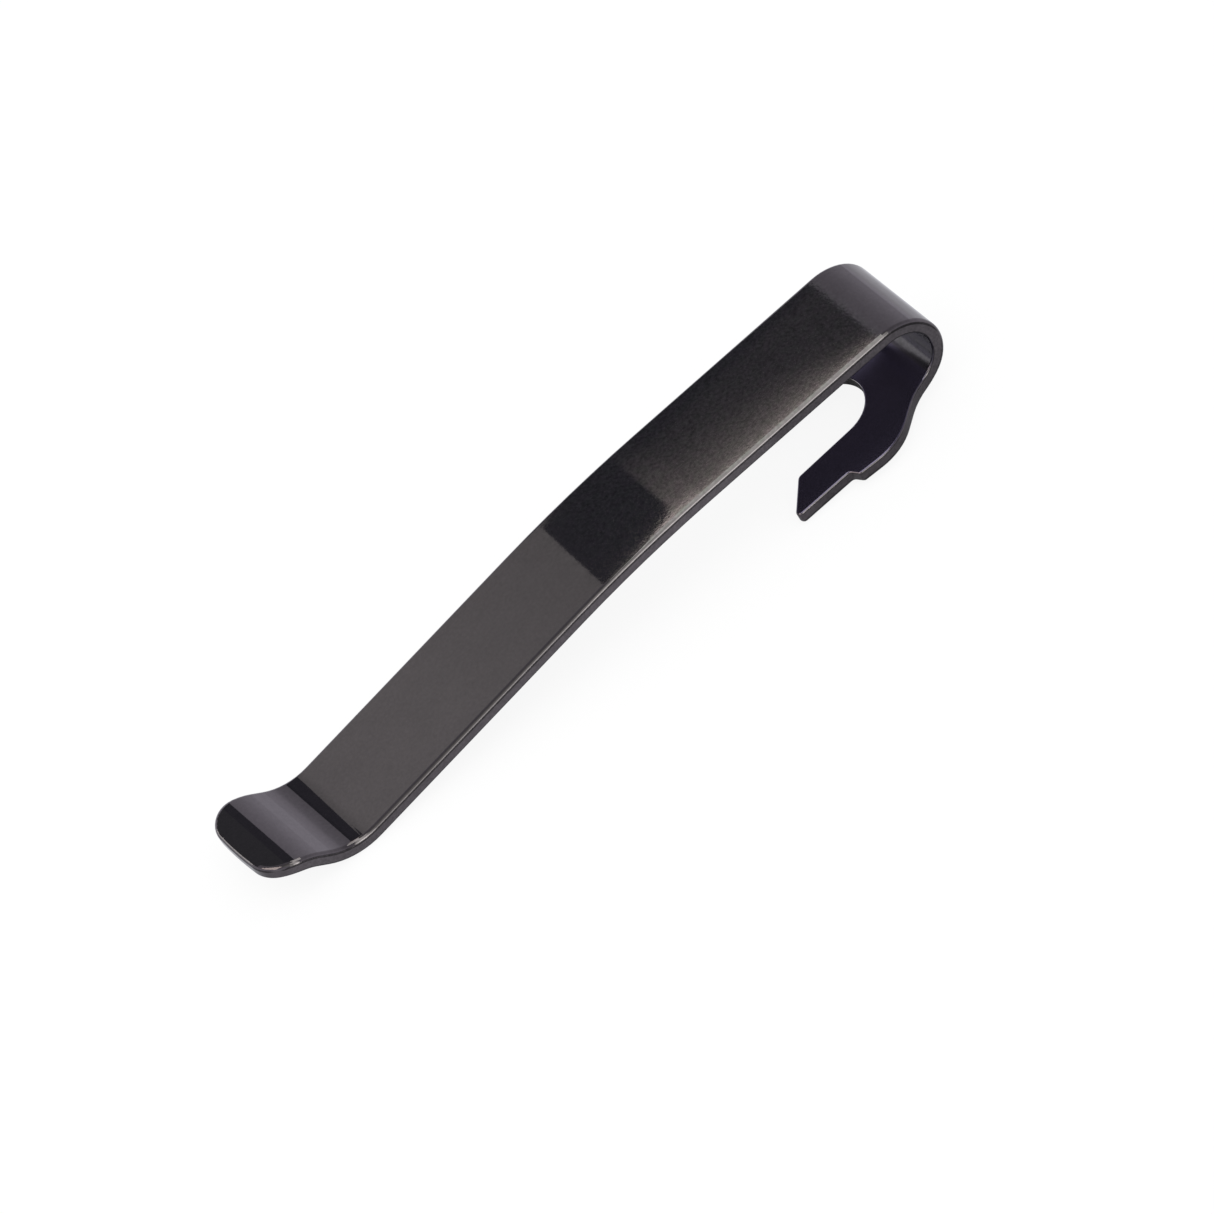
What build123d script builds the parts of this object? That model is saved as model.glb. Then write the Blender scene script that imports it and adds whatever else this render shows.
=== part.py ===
from build123d import *
from math import asin, atan2, cos, degrees, hypot, radians, sin, tan
import os

# Pocket clip: one strip of spring steel, blanked, bent and tumbled, in millimetres.
# It rests on its two prong tips and on the valley of its lip, with +Z up. +X runs along the strap
# towards the hook, and Y runs across it. The origin is under the middle, on the table.

# Steel. The outside of the bend is the strap's top and the hook plate's underside.
THICKNESS = 1.0
STRAP_WIDTH = 9.0
OUTER_EDGE_RADIUS = 0.32
INNER_EDGE_RADIUS = 0.15

# Side view, from the prong tips round the hook to the lip. Bend radii are to the middle of the steel.
HOOK_LOWER_RADIUS = 2.65
HOOK_LOWER_ANGLE = 146.0
HOOK_UPPER_RADIUS = 3.45
STRAP_UPPER_LENGTH = 16.4
ELBOW_RADIUS = 97.8
ELBOW_ANGLE = 6.95
STRAP_LOWER_LENGTH = 19.75
LIP_VALLEY_RADIUS = 5.1
LIP_VALLEY_ANGLE = 45.1
LIP_SLOPE_LENGTH = 1.0
LIP_CREST_RADIUS = 4.6
LIP_CREST_ANGLE = 35.3
LIP_END_LENGTH = 1.03

# Lip, from above
TIP_CORNER_RADIUS = 2.58
TIP_END_RADIUS = 35.0

# Slot, from above: a half-round seat that opens towards the prong tips
SLOT_RADIUS = 2.93
SLOT_FLARE_ANGLE = 2.0
SLOT_SIDE_SHIFT = 0.59
FOLD_TO_SLOT = 2.82
SEAT_TO_MOUTH = 4.75
SEAT_TO_PRONG_TIP = 7.2

# Prongs, nub and shoulder, from above. The nub is on the near side, towards minus Y.
PRONG_OUTSET = 2.14
PRONG_TIP_RADIUS = 0.35
MOUTH_CORNER_RADIUS = 0.5
NUB_HEIGHT = 0.82
NUB_FROM_PRONG_TIP = 5.37
NUB_STEP_RUN = 0.42
NUB_TOP_ANGLE = 5.0
NUB_CORNER_RADIUS = 0.3
SHOULDER_FROM_FOLD = 0.22
SHOULDER_ANGLE = 39.0
SHOULDER_HOLLOW_RADIUS = 5.6
SHOULDER_CREST_RADIUS = 4.5

# Places on the hook plate, where X is 0 at its fold
SEAT_X = -(FOLD_TO_SLOT + SLOT_RADIUS)
SLOT_Y = -SLOT_SIDE_SHIFT
MOUTH_X = SEAT_X - SEAT_TO_MOUTH
PRONG_TIP_X = SEAT_X - SEAT_TO_PRONG_TIP
NEAR_EDGE_Y = -STRAP_WIDTH / 2
FAR_EDGE_Y = STRAP_WIDTH / 2

# Runs of the side view that belong to the hook plate's blank. The strap's blank has the others.
PLATE_RUNS = ["plate", "hook lower quarter"]


def side_runs():
    """Each run's length and angle 0, or middle radius and angle, plus where it turns with the hook."""
    return {
        "plate": (-PRONG_TIP_X, 0),
        "hook lower quarter": (HOOK_LOWER_RADIUS, 90),
        "hook middle": (HOOK_LOWER_RADIUS, HOOK_LOWER_ANGLE - 90),
        "hook crown": (HOOK_UPPER_RADIUS, 180 - HOOK_LOWER_ANGLE),
        "upper strap": (STRAP_UPPER_LENGTH, 0),
        "elbow": (ELBOW_RADIUS, ELBOW_ANGLE),
        "lower strap": (STRAP_LOWER_LENGTH, 0),
        "lip valley": (LIP_VALLEY_RADIUS, -LIP_VALLEY_ANGLE),
        "lip slope": (LIP_SLOPE_LENGTH, 0),
        "lip crest": (LIP_CREST_RADIUS, LIP_CREST_ANGLE),
        # The tip's outline cuts the spare length off again
        "lip end": (LIP_END_LENGTH + THICKNESS, 0),
    }


def side_line(offset):
    """The side view's edges by run, at a distance outside the middle of the steel."""
    point = Vector(PRONG_TIP_X, -offset)
    heading = 0.0
    edges = {}
    for run, (size, angle) in side_runs().items():
        along = Vector(cos(radians(heading)), sin(radians(heading)))
        if angle == 0:
            edge = Line(point, point + along * size)
        elif angle > 0:
            edge = JernArc(point, along, size + offset, angle)
        else:
            edge = JernArc(point, along, size - offset, angle)
        edges[run] = edge
        heading += angle
        point = edge @ 1
    return edges


def bent_strip(runs):
    """These runs of the strip, wider than the clip, before the outline is cut."""
    outer = side_line(THICKNESS / 2)
    inner = side_line(-THICKNESS / 2)
    start = Line(outer[runs[0]] @ 0, inner[runs[0]] @ 0)
    end = Line(outer[runs[-1]] @ 1, inner[runs[-1]] @ 1)
    skins = [line[run] for line in (outer, inner) for run in runs]
    profile = make_face([*skins, start, end])
    return extrude(Plane.XZ * profile, amount=2 * STRAP_WIDTH, both=True)


def cut_to(strip, outline):
    """The strip inside an outline that is given from above."""
    box = strip.bounding_box()
    cutter = extrude(Pos(0, 0, box.min.Z - THICKNESS) * outline, amount=box.size.Z + 2 * THICKNESS)
    return strip & cutter


def strap_outline(hook_x):
    """The strap from above: a band with a slightly bowed end and round corners at the lip."""
    lip_end = side_line(0)["lip end"]
    tip_x = lip_end.position_at(LIP_END_LENGTH, position_mode=PositionMode.LENGTH).X
    bow = TIP_END_RADIUS - (TIP_END_RADIUS**2 - NEAR_EDGE_Y**2) ** 0.5
    near_corner = (tip_x + bow, NEAR_EDGE_Y)
    far_corner = (tip_x + bow, FAR_EDGE_Y)
    end = ThreePointArc(far_corner, (tip_x, 0), near_corner)
    sides = Polyline(near_corner, (hook_x, NEAR_EDGE_Y), (hook_x, FAR_EDGE_Y), far_corner)
    band = make_face([end, sides])
    return fillet(band.vertices().group_by(Axis.X)[0], radius=TIP_CORNER_RADIUS)


def slot_half_width(x):
    """Half the slot's width at a place on its straight sides."""
    flare = radians(SLOT_FLARE_ANGLE)
    return SLOT_RADIUS / cos(flare) + (SEAT_X - x) * tan(flare)


def slot():
    """The slot from above, reaching past the prong tips. Its sides leave the seat as tangents."""
    start_x = SEAT_X + SLOT_RADIUS * sin(radians(SLOT_FLARE_ANGLE))
    end_x = PRONG_TIP_X - SLOT_RADIUS
    start_half = slot_half_width(start_x)
    end_half = slot_half_width(end_x)
    sides = Polyline(
        (start_x, SLOT_Y - start_half),
        (end_x, SLOT_Y - end_half),
        (end_x, SLOT_Y + end_half),
        (start_x, SLOT_Y + start_half),
        close=True,
    )
    return Pos(SEAT_X, SLOT_Y) * Circle(SLOT_RADIUS) + make_face(sides)


def shoulder_top():
    """The corner where the shoulder's slanted line meets the nub's top line, before rounding."""
    slope = tan(radians(SHOULDER_ANGLE))
    top_slope = tan(radians(NUB_TOP_ANGLE))
    nub_x = PRONG_TIP_X + NUB_FROM_PRONG_TIP
    rise = PRONG_OUTSET + NUB_HEIGHT + (-SHOULDER_FROM_FOLD - nub_x) * top_slope
    reach = rise / (slope + top_slope)
    return (-SHOULDER_FROM_FOLD - reach, NEAR_EDGE_Y - reach * slope)


def plate_outline(hook_x):
    """The hook plate from above: shoulder, nub, two prongs, and the lead-in to the slot."""
    prong_y = NEAR_EDGE_Y - PRONG_OUTSET
    nub_x = PRONG_TIP_X + NUB_FROM_PRONG_TIP
    mouth_half = slot_half_width(MOUTH_X)
    corners = {
        (-SHOULDER_FROM_FOLD, NEAR_EDGE_Y): SHOULDER_HOLLOW_RADIUS,
        shoulder_top(): SHOULDER_CREST_RADIUS,
        (nub_x, prong_y - NUB_HEIGHT): NUB_CORNER_RADIUS,
        (nub_x - NUB_STEP_RUN, prong_y): NUB_CORNER_RADIUS,
        (PRONG_TIP_X, prong_y): PRONG_TIP_RADIUS,
        (MOUTH_X, SLOT_Y - mouth_half): 0,
        (MOUTH_X, SLOT_Y + mouth_half): 0,
        (PRONG_TIP_X, FAR_EDGE_Y): PRONG_TIP_RADIUS,
    }
    near_end = (hook_x, NEAR_EDGE_Y)
    far_end = (hook_x, FAR_EDGE_Y)
    rim = FilletPolyline(near_end, *corners, far_end, radius=corners.values())
    blank = make_face([rim, Line(far_end, near_end)])
    forked = blank - slot()
    mouth_corners = forked.vertices().filter_by_position(Axis.X, MOUTH_X - 0.01, MOUTH_X + 0.01)
    return fillet(mouth_corners, radius=MOUTH_CORNER_RADIUS)


def rim_edges(clip, offset):
    """The cut edges round one skin of the steel: on that skin, and not a fold line across it."""
    skin = Plane.XZ * Wire(side_line(offset).values())
    rim = []
    for edge in clip.edges():
        places = [edge @ share for share in (0, 0.5, 1)]
        on_skin = all(skin.distance_to(Vector(place.X, 0, place.Z)) < 0.001 for place in places)
        fold_line = abs((edge % 0.5).Y) > 0.999999
        if on_skin and not fold_line:
            rim.append(edge)
    return rim


def pocket_clip():
    """The whole clip, with its hook plate level and its fold at X = 0."""
    strap_runs = [run for run in side_runs() if run not in PLATE_RUNS]
    hook_x = HOOK_LOWER_RADIUS + THICKNESS
    plate = cut_to(bent_strip(PLATE_RUNS), plate_outline(hook_x))
    strap = cut_to(bent_strip(strap_runs), strap_outline(hook_x))
    clip = plate + strap
    clip = fillet(rim_edges(clip, THICKNESS / 2), radius=OUTER_EDGE_RADIUS)
    return fillet(rim_edges(clip, -THICKNESS / 2), radius=INNER_EDGE_RADIUS)


def rest_tilt():
    """The turn that brings the prong tips' lower edges and the lip's valley down to one level."""
    valley = side_line(0)["lip valley"].arc_center
    valley_radius = LIP_VALLEY_RADIUS + THICKNESS / 2
    run = PRONG_TIP_X + OUTER_EDGE_RADIUS - valley.X
    rise = OUTER_EDGE_RADIUS - THICKNESS / 2 - valley.Y
    level = asin((OUTER_EDGE_RADIUS - valley_radius) / hypot(run, rise))
    return degrees(level - atan2(rise, run))


def at_rest(clip):
    """The clip as it lies on a table, centred over the origin."""
    lying = Rot(0, -rest_tilt(), 0) * clip
    box = lying.bounding_box()
    return Pos(-box.center().X, -box.center().Y, -box.min.Z) * lying


os.makedirs("parts", exist_ok=True)
export_step(at_rest(pocket_clip()), "parts/pocket_clip.step")
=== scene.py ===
import math

import bpy
from mathutils import Matrix, Vector


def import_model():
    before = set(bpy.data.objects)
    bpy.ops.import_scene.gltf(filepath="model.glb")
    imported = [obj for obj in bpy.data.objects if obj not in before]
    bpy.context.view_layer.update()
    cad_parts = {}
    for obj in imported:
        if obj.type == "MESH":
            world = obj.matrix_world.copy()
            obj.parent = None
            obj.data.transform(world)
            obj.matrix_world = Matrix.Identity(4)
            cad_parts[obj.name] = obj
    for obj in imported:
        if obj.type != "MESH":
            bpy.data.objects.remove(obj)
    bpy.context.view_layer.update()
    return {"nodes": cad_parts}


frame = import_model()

# Units: below, a size with MM beside it is in metres, and every other size or place in millimetres
MM = 0.001

# Camera: where the photograph was taken from, and how much it takes in
VIEW_AZIMUTH = math.radians(-15.198)
VIEW_ELEVATION = math.radians(42.705)
VIEW_ROLL = math.radians(28.300)
VIEW_DISTANCE = 1136 * MM
VIEW_WIDTH = 82.17 * MM
AIM_HEIGHT = 3.0 * MM
AIM_RIGHT = 1.369 * MM
AIM_UP = -0.974 * MM
SENSOR_WIDTH = 36.0
FARTHEST_SEEN = 10000 * MM

# Steel: the share of metal is what mirrors, and the rest is a faint dark haze
STEEL_TINT = (0.0923, 0.0830, 0.0888)
STAIN_TINT = (0.0880, 0.0860, 0.0850)
INSIDE_TINT = (0.088, 0.076, 0.122)
FOLD_TINT_SHARE = 0.5
STEEL_METAL_SHARE = 0.86
INSIDE_METAL_SHARE = 0.80
SLOT_METAL_LOSS = 0.9
STEEL_ROUGHNESS = 0.028
SPECK_ROUGHNESS = 0.018
INSIDE_ROUGHNESS = 0.15
SHEARED_ROUGHNESS = 0.30
SLOT_ROUGHNESS = 0.90

# Texture of the steel: each noise's scale per millimetre, and its detail
NOISE_MIDDLE = 0.5
COARSE_GRAIN = (3.0, 2.0)
FINE_GRAIN = (6.5, 2.0)
CLOUDS = (0.45, 3.0)
SPECKS = (8.0, 3.0)
SHEAR_MARKS = (6.0, 3.0)
MOTTLE = (4.2, 2.0)
STAINS = (1.6, 4.0)
SPECK_CUT = (0.47, 0.66)
STAIN_CUT = (0.35, 0.65)
COARSE_GRAIN_SHARE = 0.35
FINE_GRAIN_SHARE = 0.25
SHEAR_MARK_DEPTH = 3.0
GRAIN_DEPTH = 0.001 * MM

# Tone of the steel: how far each thing lightens or darkens it, in parts of its colour. The clouds, mottle
# and shear marks are the steel's own, and the rest are painted light and shade.
CLOUD_TONE = 0.14
MOTTLE_TONE = 0.35
UPPER_MOTTLE_TONE = 1.15
MOTTLE_AT_NEAR_EDGE = 0.4
# Painted dark reflection line along the rounded edges where the sides roll over
PAINTED_EDGE_LINE_TONE = -0.68
# Painted shade: the top of the hook a tenth darker
CROWN_SHADE_TONE = -0.10
# Painted shade: the slot's wall much darker, as the recess is shaded
SLOT_WALL_SHADE_TONE = -0.80
# Painted shade in the lip's valley, a quarter darker
VALLEY_SHADE_TONE = -0.24
# Painted shade deep inside the fold
DEEP_FOLD_SHADE_TONE = -0.72
# Painted light on the sheared sides, and painted shade on them from the hook quarter on
SHEARED_SIDE_LIGHT_TONE = 0.14
HOOK_QUARTER_SHADE_TONE = -0.34
SHEAR_MARK_TONE = 0.9

# Regions of the steel by place: where each starts, and where it is whole
PLATE_START_X = (12.0, 12.1)
PLATE_END_X = (26.5, 26.4)
PLATE_Z = (2.05, 2.00)
FOLD_X = (25.5, 26.5)
UPPER_START_X = (-1.0, 4.0)
UPPER_END_X = (26.5, 25.5)
UPPER_Z = (3.6, 4.6)
NEAR_EDGE_Y = (-4.0, -0.5)
CROWN_Z = (5.6, 6.4)
SLOT_MIDDLE_Y = 0.97
SLOT_REACH = (3.10, 3.00)
SLOT_END_X = (24.3, 24.2)
HOOK_QUARTER_X = (14.5, 17.0)
TIP_X = (-28.9, -29.3)
# Where the lip's valley gets painted shade
VALLEY_SHADE_START_X = (-24.45, -24.1)
VALLEY_SHADE_END_X = (-23.1, -23.5)

# Regions of the steel by the way they face: parts of the outward direction
SIDEWAYS = (0.80, 0.97)
NEARLY_SIDEWAYS = (0.80, 0.88)
STANDING = (0.75, 0.55)
PLATE_FACES_UP = (0.75, 0.90)
UPPER_FACES_UP = (0.70, 0.90)
# How the part of the lip's valley that gets painted shade faces
VALLEY_SHADE_FACES_UP = (0.3, 0.5)
INTO_FOLD = (-0.2, -0.5)
DEEP_IN_FOLD = (-0.40, -0.60)
# How steeply the rounded edge faces where its painted dark reflection line lies
PAINTED_EDGE_LINE_START = (0.03, 0.08)
PAINTED_EDGE_LINE_END = (0.55, 0.40)

# Studio: cards above and around the clip, which its faces mirror. Levels are in parts of white.
SHEEN_TINT = (1.0, 0.917, 0.824)
LAMP_TINT = (1.0, 1.02, 0.95)
LEFT_TINT = (1.0, 1.0, 0.97)
SKY_TINT = (1.0, 0.98, 1.09)
GAP_TINT = (0.055, 0.058, 0.090)
FLAG_TINT = (0.10, 0.11, 0.13)
BACK_LAMP_LEVEL = 3.0
CORNER_LAMP_LEVEL = 4.0
FRONT_LAMP_CORNERS = [(-110, -480, 4), (110, -480, 4), (110, -40, 300), (-110, -40, 300)]
BACK_LAMP_CORNERS = [(-337, 281, 60), (-191, 395, 60), (-143, 333, 254), (-289, 219, 254)]
CORNER_LAMP_CORNERS = [(-312, -150, 199), (-312, 110, 199), (-122, 110, 347), (-122, -150, 347)]
FLAG_OUTLINE = [(-36, 2.4), (-25.5, 2.4), (-25.5, 14), (-36, 14)]
FLAG_HEIGHT = 8

# Cards straight above: the overhead lamp, the gap behind it, and the left card beside the gap
CARD_HEIGHT = 75
LAMP_LEFT_X = -3.0
LAMP_RIGHT_X = 38.3
LAMP_FRONT_Y = -20
GAP_FRONT_Y = 55
GAP_BACK_Y = 160
LEFT_CARD_LEFT_X = -60
GAP_LEFT_EDGE = [(LAMP_LEFT_X, GAP_FRONT_Y), (-1.1, 76.6), (5.5, 77.2), (-1.6, 83), (-2.6, GAP_BACK_Y)]
GAP_RIGHT_EDGE = [(LAMP_RIGHT_X, GAP_FRONT_Y), (LAMP_RIGHT_X, GAP_BACK_Y)]
LEFT_CARD_EDGE = [(LEFT_CARD_LEFT_X, GAP_BACK_Y), (LEFT_CARD_LEFT_X, GAP_FRONT_Y)]
LAMP_FRONT_EDGE = [(LAMP_LEFT_X, LAMP_FRONT_Y), (LAMP_RIGHT_X, LAMP_FRONT_Y)]

# Light on the gap card: a bright core along its front, a wide soft spill, and a thin veil. Depth
# is from SPILL_MIDDLE_Y, in units of DEPTH_UNIT. A pair is where a change starts and where it ends.
SPILL_MIDDLE_Y = 66.5
DEPTH_UNIT = 1.09
SPREAD_START_X = 34.5
CORE_LEVEL = 1.2
CORE_SLANT = 0.053
CORE_FADE = -0.40
SPILL_LEVEL = 0.70
SPILL_X = (38.5, 30.5)
SPILL_WIDTH = 1.9
SPILL_SPREAD = 0.16
VEIL_LEVEL = 0.07
VEIL_Y = (75.4, 74.4)
LIT_LEFT_X = 15.6
LIT_LEFT_SWEEP = 30.0
LIT_LEFT_FADE = -0.35
LIT_LEFT_EDGE = (-0.6, 0.6)
LIT_RIGHT_EDGE = (-0.3, 0.6)
BRIGHTEST = 4.0

# Light on the left card and on the overhead lamp. The lamp's lit part ends at a curve, given by its
# square, slope and start.
LEFT_LEVEL = 0.66
LEFT_GAIN = 0.21
LEFT_GAIN_X = (-1.0, -25.0)
OVERHEAD_DIM = 0.4
OVERHEAD_LEVEL = 1.8
OVERHEAD_GAIN_Y = (54.0, 30.0)
OVERHEAD_EDGE = (0.613, 2.46, -6.9)
OVERHEAD_SOFTNESS = (-4.0, 4.0)

# Light on the front lamp: more on its right, less at its far right, and more low down
FRONT_LEVEL = 1.6
FRONT_RIGHT_GAIN = 3.6
FRONT_RIGHT_X = (-40.0, 50.0)
FRONT_FAR_RIGHT_LOSS = 2.2
FRONT_FAR_RIGHT_X = (65.0, 105.0)
FRONT_HIGH_SHARE = 0.58
FRONT_LOW_GAIN = 1.6
FRONT_LOW_Y = (-220.0, -380.0)
FRONT_CUT_X = (-15.0, 25.0)
FRONT_CUT_Y = (-160.0, -90.0)
FRONT_FOOT_Y = (-475.0, -420.0)
FRONT_DIM = 0.45

# World: its level for mirrors at the horizon, what it loses towards the top, and its grey for
# matt surfaces
WORLD_LEVEL = 1.15
WORLD_TOP_LOSS = 0.80
WORLD_GREY = (0.9, 0.9, 0.9, 1)
WHITE = (1, 1, 1, 1)

# Floor: mirrors see it darker beneath and beside the clip, as the clip shades it
FLOOR_SIDE = 3000
FLOOR_HEIGHT = -0.02
FLOOR_GLOW_SHARE = 0.85
FLOOR_SEEN = (1.05, 1.05, 1.05, 1)
FLOOR_MIRRORED = (1.18, 1.18, 1.27)
PAPER = (0.9, 0.9, 0.9, 1)
SHADE_HALF_WIDTH = 3.0
SHADE_HALF_LENGTH = 29.0
SHADE_HOOK_EXTRA_WIDTH = 3.1
SHADE_HOOK_START_X = (11.0, 13.0)
SHADE_HOOK_END_X = (28.0, 26.0)
SHADE_UNDER_HOOK = 0.42
SHADE_UNDER_STRAP_GAIN = 0.14
SHADE_UNDER_STRAP_X = (12.0, 2.0)
SHADE_CLOSE = 0.72
SHADE_CLOSE_BY = (0.0, 4.0)
SHADE_FAR_OFF = (5.0, 25.0)


class Value:
    """A shader number. Python's operators on it add Math nodes to its tree."""

    def __init__(self, shader, socket):
        self.shader = shader
        self.socket = socket

    def math(self, operation, *numbers):
        made = self.shader.node("ShaderNodeMath", {"operation": operation}, dict(enumerate(numbers)))
        return made.value()

    def __add__(self, other):
        return self.math("ADD", self, other)

    def __radd__(self, other):
        return self.math("ADD", other, self)

    def __sub__(self, other):
        return self.math("SUBTRACT", self, other)

    def __rsub__(self, other):
        return self.math("SUBTRACT", other, self)

    def __mul__(self, other):
        return self.math("MULTIPLY", self, other)

    def __rmul__(self, other):
        return self.math("MULTIPLY", other, self)

    def __truediv__(self, other):
        return self.math("DIVIDE", self, other)

    def __rtruediv__(self, other):
        return self.math("DIVIDE", other, self)

    def __neg__(self):
        return self.math("MULTIPLY", self, -1.0)

    def __abs__(self):
        return self.math("ABSOLUTE", self)

    def exp(self):
        return self.math("EXPONENT", self)

    def at_most(self, other):
        return self.math("MINIMUM", self, other)

    def at_least(self, other):
        return self.math("MAXIMUM", self, other)

    def step(self, start, end):
        """0 before start and 1 after end, smooth between them. End may be the lower one."""
        share = ((self - start) / (end - start)).at_least(0.0).at_most(1.0)
        return share * share * (3.0 - 2.0 * share)


class Made:
    """A node that has been made, with its outputs by name or place."""

    def __init__(self, shader, node):
        self.shader = shader
        self.node = node

    def out(self, output=0):
        return self.node.outputs[output]

    def value(self, output=0):
        return Value(self.shader, self.out(output))


class Shader:
    """Makes the nodes of one tree."""

    def __init__(self, tree):
        self.tree = tree
        tree.nodes.clear()

    def node(self, kind, settings, inputs):
        """A node of a kind, its settings, and then its inputs by name or place: values or links."""
        made = self.tree.nodes.new(kind)
        for name, setting in settings.items():
            setattr(made, name, setting)
        for place, given in inputs.items():
            if isinstance(given, Value):
                given = given.socket
            if isinstance(given, bpy.types.NodeSocket):
                self.tree.links.new(given, made.inputs[place])
            else:
                made.inputs[place].default_value = given
        return Made(self, made)

    def place_mm(self):
        """Where the surface is, in millimetres along the piece's own axes."""
        place = self.node("ShaderNodeTexCoord", {}, {}).out("Object")
        return self.node("ShaderNodeVectorMath", {"operation": "SCALE"}, {0: place, "Scale": 1 / MM}).out()

    def split(self, vector):
        parts = self.node("ShaderNodeSeparateXYZ", {}, {0: vector})
        return parts.value("X"), parts.value("Y"), parts.value("Z")

    def lit(self, tint, level):
        """A colour at a level that changes from place to place."""
        return self.node("ShaderNodeVectorMath", {"operation": "SCALE"}, {0: tint, "Scale": level}).out()

    def between(self, share, first, second):
        """A colour from the first to the second."""
        sockets = {0: share, 6: first, 7: second}
        return self.node("ShaderNodeMix", {"data_type": "RGBA"}, sockets).out(2)

    def noise(self, where, scale, detail):
        sockets = {"Vector": where, "Scale": scale, "Detail": detail}
        return self.node("ShaderNodeTexNoise", {}, sockets).value()


def new_material(name):
    material = bpy.data.materials.new(name)
    material.use_nodes = True
    return material, Shader(material.node_tree)


def opaque(tint):
    """A tint as a colour socket takes it."""
    return (*tint, 1)


class Regions:
    """The regions of the clip's steel. Each is 1 where it is whole and 0 outside it."""

    def __init__(self, shader, where):
        facing = shader.node("ShaderNodeTexCoord", {}, {}).out("Normal")
        along, across, upward = shader.split(facing)
        x, y, z = shader.split(where)

        plate = x.step(*PLATE_START_X) * z.step(*PLATE_Z)
        plate_side = plate * x.step(*PLATE_END_X) * abs(upward).step(*STANDING)
        self.plate_top = plate * upward.step(*PLATE_FACES_UP)
        # The slot's wall: rougher, less of it mirrors, and it gets painted shade
        self.slot_wall = plate_side * abs(y - SLOT_MIDDLE_Y).step(*SLOT_REACH) * x.step(*SLOT_END_X)

        self.sheared = abs(across).step(*SIDEWAYS).at_least(plate_side)
        # The quarter towards the hook, where the sides get painted shade
        self.shaded_hook_quarter = x.step(*HOOK_QUARTER_X)
        # The rounded rim, and the band of it that gets a painted dark reflection line
        rim = abs(across).step(*NEARLY_SIDEWAYS).at_least(x.step(*TIP_X))
        self.painted_edge_line = rim * abs(upward).step(*PAINTED_EDGE_LINE_START) * abs(upward).step(*PAINTED_EDGE_LINE_END)

        self.fold = x.step(*FOLD_X) * along.step(*INTO_FOLD)
        # Deep inside the fold, which gets painted shade
        self.deep_fold = self.fold * along.step(*DEEP_IN_FOLD)
        self.inside = self.plate_top.at_least(self.fold)
        # The hook's top, which gets painted shade
        self.shaded_crown = x.step(*FOLD_X) * z.step(*CROWN_Z)

        upper_stretch = x.step(*UPPER_START_X) * x.step(*UPPER_END_X) * z.step(*UPPER_Z)
        self.upper_strap = upper_stretch * upward.step(*UPPER_FACES_UP)
        self.off_near_edge = y.step(*NEAR_EDGE_Y)
        # The lip's valley, which gets painted shade
        valley_shade_stretch = x.step(*VALLEY_SHADE_START_X) * x.step(*VALLEY_SHADE_END_X)
        self.valley_shade = valley_shade_stretch * upward.step(*VALLEY_SHADE_FACES_UP)


def steel_tint(shader, where, on):
    """The steel's colour: stained in spots on the upper strap, and more violet on its inside."""
    stains = shader.noise(where, *STAINS).step(*STAIN_CUT)
    outside = shader.between(on.upper_strap * stains, opaque(STEEL_TINT), opaque(STAIN_TINT))
    violet = on.plate_top.at_least(FOLD_TINT_SHARE * on.fold)
    return shader.between(violet, outside, opaque(INSIDE_TINT))


def steel_tone_and_shade(shader, where, on, marks):
    """How light the steel is, in parts of its colour, with painted shade on the edge line, crown, slot
    wall, lip's valley, deep fold and hook quarter, and painted light on the sheared sides.
    """
    clouds = shader.noise(where, *CLOUDS) - NOISE_MIDDLE
    mottle = shader.noise(where, *MOTTLE) - NOISE_MIDDLE
    upper_share = MOTTLE_AT_NEAR_EDGE + (1.0 - MOTTLE_AT_NEAR_EDGE) * on.off_near_edge
    mottling = MOTTLE_TONE + UPPER_MOTTLE_TONE * on.upper_strap * upper_share
    tone_and_shade = 1.0 + CLOUD_TONE * clouds + mottling * mottle
    # Painted shade: the edge line, the crown, the slot wall, the lip's valley and the deep fold
    tone_and_shade = tone_and_shade + PAINTED_EDGE_LINE_TONE * on.painted_edge_line + CROWN_SHADE_TONE * on.shaded_crown
    tone_and_shade = tone_and_shade + SLOT_WALL_SHADE_TONE * on.slot_wall + VALLEY_SHADE_TONE * on.valley_shade + DEEP_FOLD_SHADE_TONE * on.deep_fold
    # The sides: painted light, painted shade towards the hook, and their shear marks
    side_light_shade_and_marks = SHEARED_SIDE_LIGHT_TONE + HOOK_QUARTER_SHADE_TONE * on.shaded_hook_quarter
    side_light_shade_and_marks = side_light_shade_and_marks + SHEAR_MARK_TONE * (marks - NOISE_MIDDLE)
    return tone_and_shade * (1.0 + on.sheared * side_light_shade_and_marks)


def steel_roughness(shader, where, on):
    """Glossy, with duller specks. The inside, the sheared sides and the slot's wall are rougher."""
    specks = shader.noise(where, *SPECKS).step(*SPECK_CUT)
    rough = STEEL_ROUGHNESS + SPECK_ROUGHNESS * specks + INSIDE_ROUGHNESS * on.inside
    return rough.at_least(on.sheared * SHEARED_ROUGHNESS).at_least(on.slot_wall * SLOT_ROUGHNESS)


def steel_metal(on):
    """How much of the steel mirrors."""
    metal = STEEL_METAL_SHARE + on.inside * (INSIDE_METAL_SHARE - STEEL_METAL_SHARE)
    return metal * (1.0 - SLOT_METAL_LOSS * on.slot_wall)


def steel_relief(shader, where, on, marks):
    """The tumbling grain all over, and the marks that shearing leaves on the sides."""
    grain = COARSE_GRAIN_SHARE * shader.noise(where, *COARSE_GRAIN)
    grain = grain + FINE_GRAIN_SHARE * shader.noise(where, *FINE_GRAIN)
    height = grain + on.sheared * SHEAR_MARK_DEPTH * marks
    relief = {"Height": height, "Strength": 1.0, "Distance": GRAIN_DEPTH}
    return shader.node("ShaderNodeBump", {}, relief).out()


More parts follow.
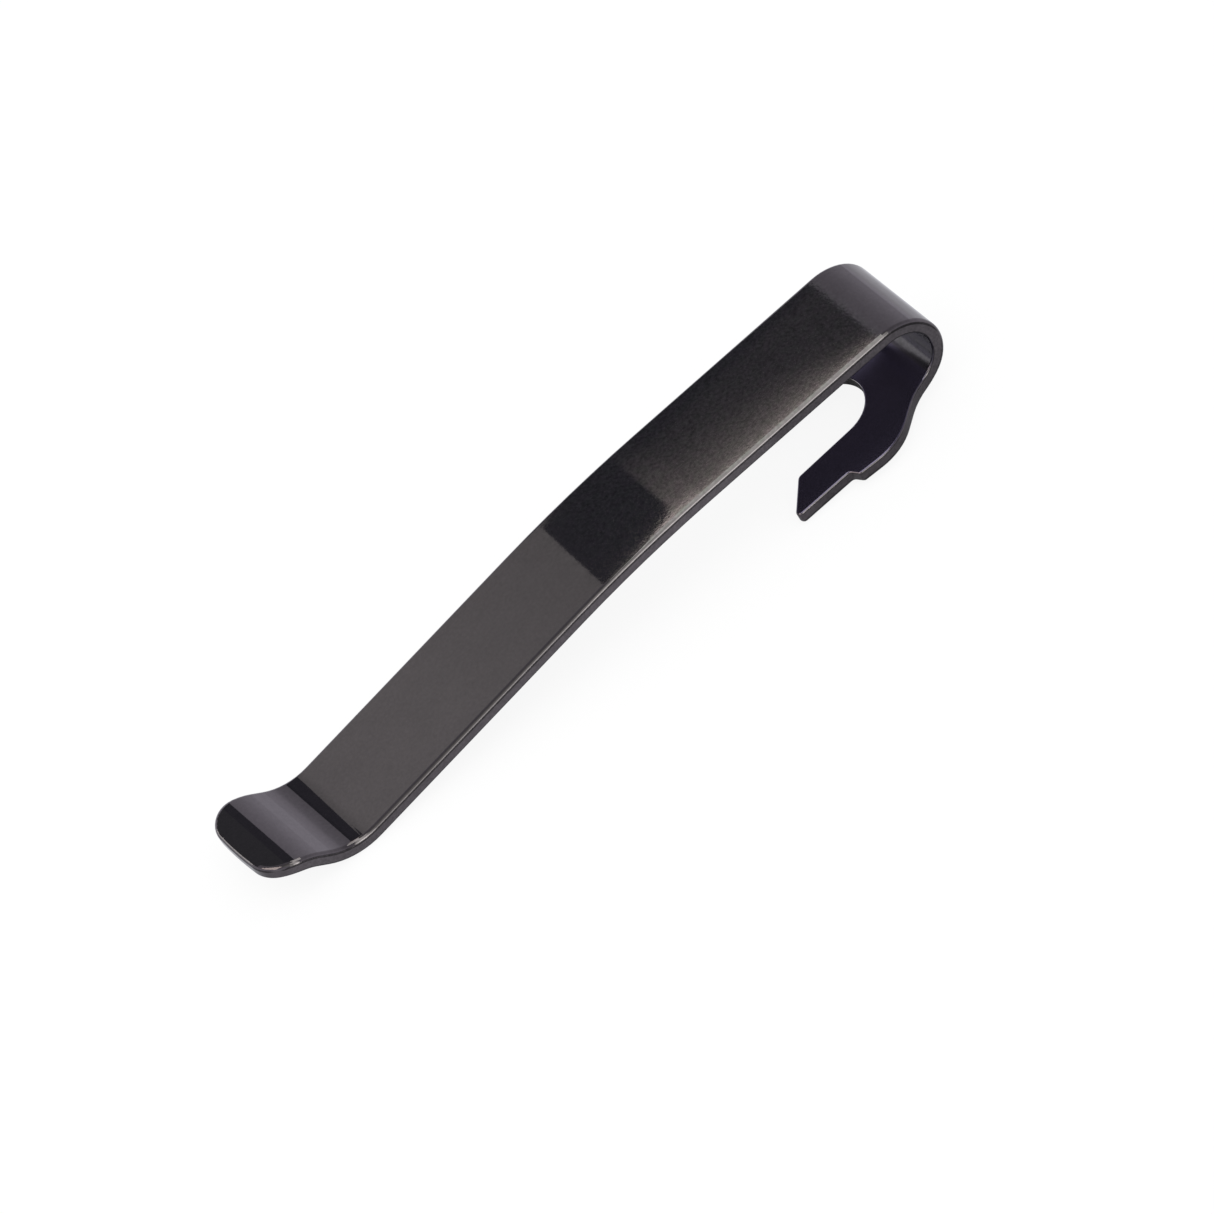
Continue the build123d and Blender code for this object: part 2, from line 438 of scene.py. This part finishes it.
def black_oxide_steel():
    """Tumbled spring steel with a thin glossy black oxide."""
    material, shader = new_material("black_oxide_steel")
    where = shader.place_mm()
    on = Regions(shader, where)
    marks = shader.noise(where, *SHEAR_MARKS)
    tint = steel_tint(shader, where, on)
    finish = {
        "Base Color": shader.lit(tint, steel_tone_and_shade(shader, where, on, marks)),
        "Metallic": steel_metal(on),
        "Roughness": steel_roughness(shader, where, on),
        "Normal": steel_relief(shader, where, on, marks),
    }
    surface = shader.node("ShaderNodeBsdfPrincipled", {}, finish)
    shader.node("ShaderNodeOutputMaterial", {}, {"Surface": surface.out()})
    return material


def glow_material(name, colour, strength):
    """A material that only glows, in an even colour or in what a function of its shader gives."""
    material, shader = new_material(name)
    if callable(colour):
        colour = colour(shader)
    glow = shader.node("ShaderNodeEmission", {}, {"Color": colour, "Strength": strength})
    shader.node("ShaderNodeOutputMaterial", {}, {"Surface": glow.out()})
    return material


def staged_plane(name, corners_mm, material):
    """A flat shape that belongs to the studio."""
    mesh = bpy.data.meshes.new(name)
    mesh.from_pydata([Vector(corner) * MM for corner in corners_mm], [], [range(len(corners_mm))])
    mesh.materials.append(material)
    plane = bpy.data.objects.new(name, mesh)
    bpy.context.scene.collection.objects.link(plane)
    return plane


def card(name, corners_mm, colour, strength=1.0):
    """A flat card that only mirror reflections see."""
    plane = staged_plane(name, corners_mm, glow_material(name + "_glow", colour, strength))
    plane.visible_camera = False
    plane.visible_diffuse = False
    plane.visible_shadow = False


def gap_colour(shader):
    """The dark gap between two cards. A lamp's soft light spills onto its near part."""
    x, y, _ = shader.split(shader.place_mm())
    depth = (y - SPILL_MIDDLE_Y) / DEPTH_UNIT
    leftward = SPREAD_START_X - x
    core = CORE_LEVEL * ((depth - CORE_SLANT * leftward) / CORE_FADE).exp()
    width = SPILL_WIDTH + SPILL_SPREAD * leftward
    spill = SPILL_LEVEL * x.step(*SPILL_X) * (-(depth * depth) / (width * width)).exp()
    veil = VEIL_LEVEL * y.step(*VEIL_Y)
    left = LIT_LEFT_X - LIT_LEFT_SWEEP * (depth / LIT_LEFT_FADE).exp()
    inside = (x - left).step(*LIT_LEFT_EDGE) * (LAMP_RIGHT_X - x).step(*LIT_RIGHT_EDGE)
    sheen = (core + spill + veil).at_most(BRIGHTEST) * inside
    glow = shader.lit(SHEEN_TINT, sheen)
    return shader.node("ShaderNodeVectorMath", {"operation": "ADD"}, {0: glow, 1: GAP_TINT}).out()


def left_colour(shader):
    """A grey card that darkens a little towards the gap."""
    x, _, _ = shader.split(shader.place_mm())
    return shader.lit(LEFT_TINT, LEFT_LEVEL + LEFT_GAIN * x.step(*LEFT_GAIN_X))


def overhead_colour(shader):
    """A lamp with a curved left edge, brighter towards the front."""
    x, y, _ = shader.split(shader.place_mm())
    square, slope, start = OVERHEAD_EDGE
    edge = square * x * x + slope * x + start
    level = OVERHEAD_LEVEL + y.step(*OVERHEAD_GAIN_Y)
    return shader.lit(LAMP_TINT, OVERHEAD_DIM + level * (edge - y).step(*OVERHEAD_SOFTNESS))


def front_colour(shader):
    """A big lamp above the camera, brighter on its right. It is cut off at its upper left."""
    x, y, _ = shader.split(shader.place_mm())
    level = FRONT_LEVEL + FRONT_RIGHT_GAIN * x.step(*FRONT_RIGHT_X)
    level = level - FRONT_FAR_RIGHT_LOSS * x.step(*FRONT_FAR_RIGHT_X)
    level = level * (FRONT_HIGH_SHARE + FRONT_LOW_GAIN * y.step(*FRONT_LOW_Y))
    cut = (1.0 - x.step(*FRONT_CUT_X)) * y.step(*FRONT_CUT_Y)
    level = level * (1.0 - cut) * y.step(*FRONT_FOOT_Y)
    return shader.lit(LAMP_TINT, level.at_least(FRONT_DIM))


def at_height(outline, height):
    return [(x, y, height) for x, y in outline]


def studio():
    # The overhead lamp, the gap and the left card meet at one corner
    meeting, *gap_left = GAP_LEFT_EDGE
    gap_outline = [meeting, *GAP_RIGHT_EDGE, *reversed(gap_left)]
    left_outline = [*GAP_LEFT_EDGE, *LEFT_CARD_EDGE]
    lamp_outline = [*LAMP_FRONT_EDGE, GAP_RIGHT_EDGE[0], meeting]
    card("gap_card", at_height(gap_outline, CARD_HEIGHT), gap_colour)
    card("left_card", at_height(left_outline, CARD_HEIGHT), left_colour)
    card("overhead_lamp", at_height(lamp_outline, CARD_HEIGHT), overhead_colour)
    card("front_lamp", FRONT_LAMP_CORNERS, front_colour)
    card("back_lamp", BACK_LAMP_CORNERS, opaque(LAMP_TINT), BACK_LAMP_LEVEL)
    card("corner_lamp", CORNER_LAMP_CORNERS, opaque(SHEEN_TINT), CORNER_LAMP_LEVEL)
    card("tip_flag", at_height(FLAG_OUTLINE, FLAG_HEIGHT), opaque(FLAG_TINT))


def world():
    """White for the camera. Mirrors see it dim towards the top."""
    made = bpy.data.worlds.new("studio_world")
    made.use_nodes = True
    bpy.context.scene.world = made
    shader = Shader(made.node_tree)
    direction = shader.node("ShaderNodeTexCoord", {}, {}).out("Generated")
    height = shader.split(direction)[2]
    mirrored = shader.lit(SKY_TINT, WORLD_LEVEL - WORLD_TOP_LOSS * height.at_least(0.0))
    path = shader.node("ShaderNodeLightPath", {}, {})
    plain = shader.between(path.value("Is Glossy Ray"), WORLD_GREY, mirrored)
    colour = shader.between(path.value("Is Camera Ray"), plain, WHITE)
    glow = shader.node("ShaderNodeBackground", {}, {"Color": colour, "Strength": 1.0})
    shader.node("ShaderNodeOutputWorld", {}, {"Surface": glow.out()})


def floor():
    """A white table. It keeps the clip's shadow faintly."""
    material, shader = new_material("white_table")
    path = shader.node("ShaderNodeLightPath", {}, {})
    mirrored = path.value("Is Glossy Ray")
    seen = path.value("Is Camera Ray") + mirrored + path.value("Is Transmission Ray")
    x, y, _ = shader.split(shader.place_mm())
    by_hook = x.step(*SHADE_HOOK_START_X) * x.step(*SHADE_HOOK_END_X)
    beside = abs(y) - SHADE_HALF_WIDTH - SHADE_HOOK_EXTRA_WIDTH * by_hook
    away = beside.at_least(abs(x) - SHADE_HALF_LENGTH)
    under = SHADE_UNDER_HOOK + SHADE_UNDER_STRAP_GAIN * x.step(*SHADE_UNDER_STRAP_X)
    shade = under + (SHADE_CLOSE - under) * away.step(*SHADE_CLOSE_BY)
    shade = shade + (1.0 - SHADE_CLOSE) * away.step(*SHADE_FAR_OFF)
    tint = shader.between(mirrored, FLOOR_SEEN, shader.lit(FLOOR_MIRRORED, shade))
    paper = shader.node("ShaderNodeBsdfDiffuse", {}, {"Color": PAPER})
    glow = shader.node("ShaderNodeEmission", {}, {"Color": tint, "Strength": 1.0})
    share = FLOOR_GLOW_SHARE * seen.at_most(1.0)
    mix = shader.node("ShaderNodeMixShader", {}, {0: share, 1: paper.out(), 2: glow.out()})
    shader.node("ShaderNodeOutputMaterial", {}, {"Surface": mix.out()})
    half = FLOOR_SIDE / 2
    corners = [(-half, -half), (half, -half), (half, half), (-half, half)]
    staged_plane("table", at_height(corners, FLOOR_HEIGHT), material)


def camera():
    """The photograph's camera. It looks down at the clip's front and is rolled, so the hook is up."""
    back = Vector((
        math.sin(VIEW_AZIMUTH) * math.cos(VIEW_ELEVATION),
        -math.cos(VIEW_AZIMUTH) * math.cos(VIEW_ELEVATION),
        math.sin(VIEW_ELEVATION),
    ))
    level_right = Vector((math.cos(VIEW_AZIMUTH), math.sin(VIEW_AZIMUTH), 0))
    level_up = back.cross(level_right)
    right = math.cos(VIEW_ROLL) * level_right - math.sin(VIEW_ROLL) * level_up
    up = math.sin(VIEW_ROLL) * level_right + math.cos(VIEW_ROLL) * level_up
    aim = Vector((0, 0, AIM_HEIGHT)) + AIM_RIGHT * right + AIM_UP * up
    lens = bpy.data.cameras.new("camera")
    lens.sensor_width = SENSOR_WIDTH
    lens.lens = SENSOR_WIDTH * VIEW_DISTANCE / VIEW_WIDTH
    lens.clip_end = FARTHEST_SEEN
    eye = bpy.data.objects.new("camera", lens)
    turned = Matrix((right, up, back)).transposed().to_4x4()
    eye.matrix_world = Matrix.Translation(aim + VIEW_DISTANCE * back) @ turned
    bpy.context.scene.collection.objects.link(eye)
    bpy.context.scene.camera = eye


steel = black_oxide_steel()
clip = frame["nodes"]["pocket_clip"]
for slot in clip.material_slots:
    slot.material = steel

floor()
world()
studio()
camera()
bpy.context.scene.view_settings.view_transform = "Standard"
